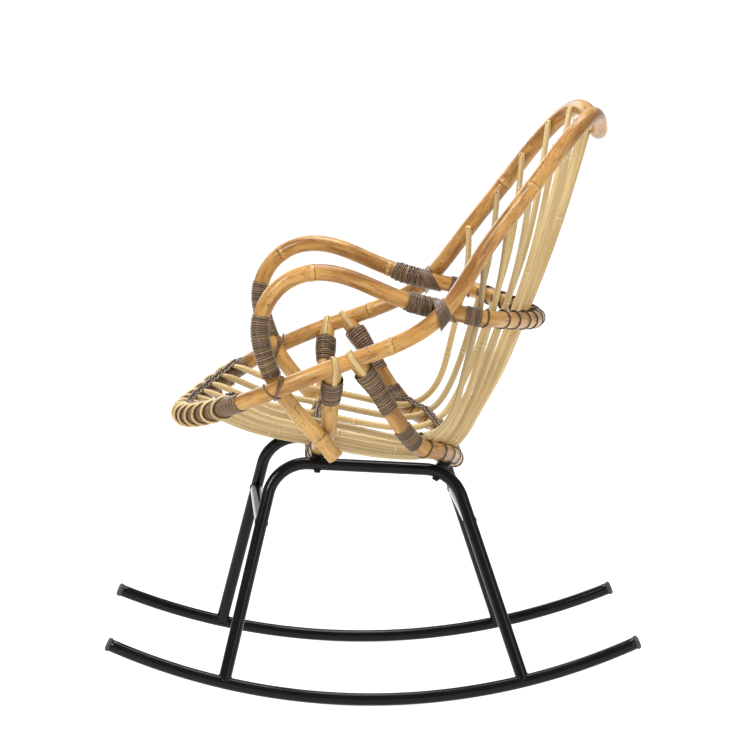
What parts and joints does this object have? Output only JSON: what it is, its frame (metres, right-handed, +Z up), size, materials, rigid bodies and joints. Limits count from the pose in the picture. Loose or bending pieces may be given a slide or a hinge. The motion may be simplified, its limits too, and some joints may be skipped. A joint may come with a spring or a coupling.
{
  "type": "rocking chair",
  "caption": "Bucket-shaped rocking chair of bent rattan poles and slender canes with peel bindings, on a splayed black steel tube base with curved runners.",
  "frame": {"origin": "on the floor under the middle of the runners, the middle of the object's base", "axes": "+Z up; -Y towards the front edge of the seat; +X towards the sitter's left"},
  "size_m": [0.585, 0.799, 0.8825],
  "materials": {
    "rattan_pole": "satin varnish over the natural skin, with growth rings and dark specks",
    "pale_cane": "bare satin cane",
    "brown_peel": "stained rattan peel, slightly glossy",
    "black_steel": "gloss black coating",
    "grey_cap": "matte moulded",
    "dark_bolt": "blackened"
  },
  "bodies": {
    "root": {"arm_hoop": "rattan_pole", "back_hoop_lashing": "brown_peel", "front_cross_bar": "black_steel", "front_edge_binding": "brown_peel", "front_seat_support": "rattan_pole", "front_support_lashing": "brown_peel", "front_twine": "brown_peel", "left_arm_wrap": "brown_peel", "left_front_bolt": "dark_bolt", "left_front_cap": "grey_cap", "left_front_post_wrap": "brown_peel", "left_front_saddle": "black_steel", "left_front_strap": "pale_cane", "left_hoop_end_wrap": "brown_peel", "left_joint_lashing": "brown_peel", "left_joint_wrap": "brown_peel", "left_leg_frame": "black_steel", "left_rail_tie": "brown_peel", "left_rear_bolt": "dark_bolt", "left_rear_cap": "grey_cap", "left_rear_post_lower_wrap": "brown_peel", "left_rear_post_upper_wrap": "brown_peel", "left_rear_saddle": "black_steel", "left_rear_strap": "pale_cane", "left_rocker": "black_steel", "main_hoop": "rattan_pole", "rear_cross_bar": "black_steel", "rear_seat_support": "rattan_pole", "rear_support_lashing": "brown_peel", "right_arm_wrap": "brown_peel", "right_front_bolt": "dark_bolt", "right_front_cap": "grey_cap", "right_front_post_wrap": "brown_peel", "right_front_saddle": "black_steel", "right_front_strap": "pale_cane", "right_hoop_end_wrap": "brown_peel", "right_joint_lashing": "brown_peel", "right_joint_wrap": "brown_peel", "right_leg_frame": "black_steel", "right_rail_tie": "brown_peel", "right_rear_bolt": "dark_bolt", "right_rear_cap": "grey_cap", "right_rear_post_lower_wrap": "brown_peel", "right_rear_post_upper_wrap": "brown_peel", "right_rear_saddle": "black_steel", "right_rear_strap": "pale_cane", "right_rocker": "black_steel", "seat_cane_01": "pale_cane", "seat_cane_02": "pale_cane", "seat_cane_03": "pale_cane", "seat_cane_04": "pale_cane", "seat_cane_05": "pale_cane", "seat_cane_06": "pale_cane", "seat_cane_07": "pale_cane", "seat_cane_08": "pale_cane", "seat_cane_09": "pale_cane", "seat_cane_10": "pale_cane", "seat_cane_11": "pale_cane", "seat_cane_12": "pale_cane", "seat_cane_13": "pale_cane"}
  },
  "joints": []
}
